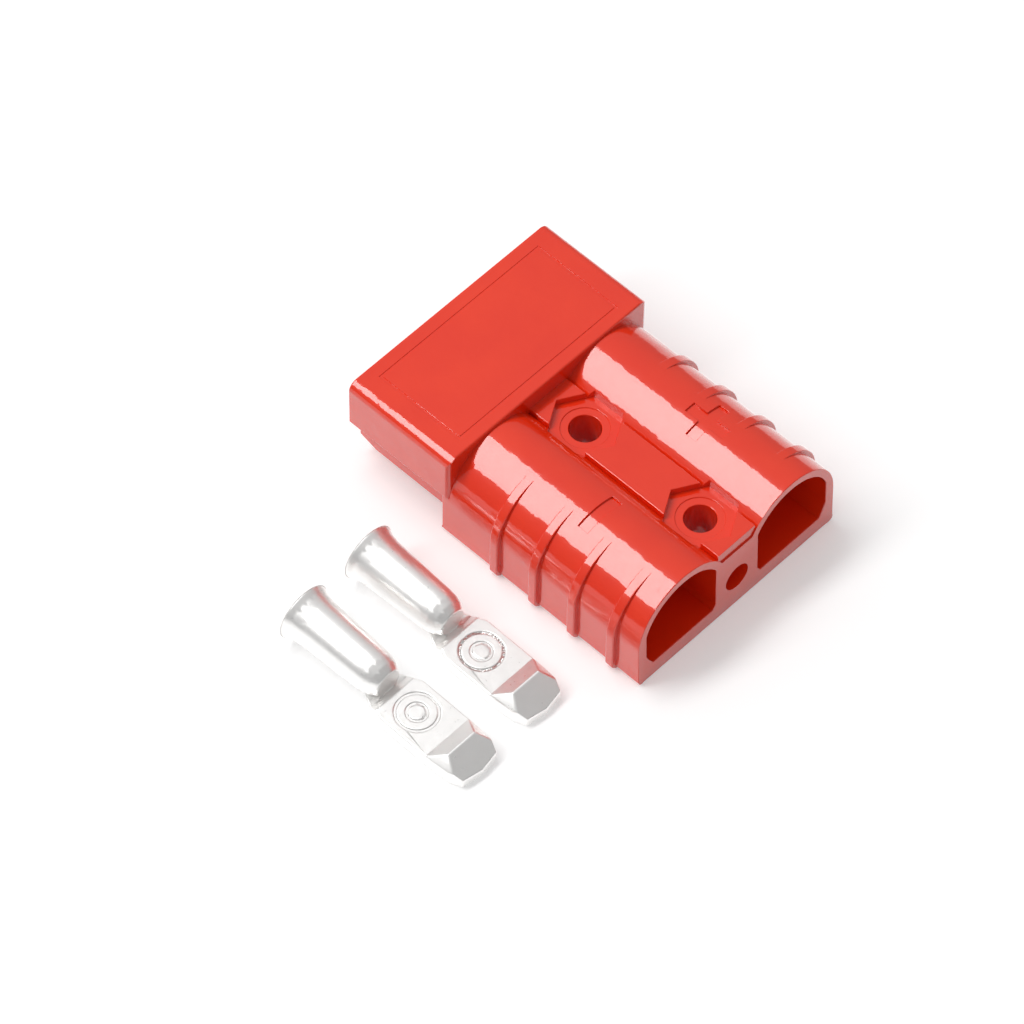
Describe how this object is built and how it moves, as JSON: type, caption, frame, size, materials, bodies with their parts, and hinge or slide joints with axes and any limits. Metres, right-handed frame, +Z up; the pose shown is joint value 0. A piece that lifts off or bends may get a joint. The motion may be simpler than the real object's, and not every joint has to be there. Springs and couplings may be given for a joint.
{
  "type": "genderless power connector",
  "caption": "Genderless power connector housing with hooded mating face, round wire barrels and loose silver-plated crimp contacts lying beside it.",
  "frame": {"origin": "on the underside of the housing, midway between the two screw holes", "axes": "+Y is the mating direction, +X points to the positive pole, +Z is up and away from the surface the housing rests on"},
  "size_m": [0.0643, 0.051, 0.0158],
  "materials": {
    "housing": "glossy moulded red",
    "spring": "rolled stainless strip",
    "contact": "bright silver plate"
  },
  "bodies": {
    "root": {"housing": "housing", "leaf_spring_positive": "spring", "leaf_spring_negative": "spring", "contact_1": "contact", "contact_2": "contact"}
  },
  "joints": []
}
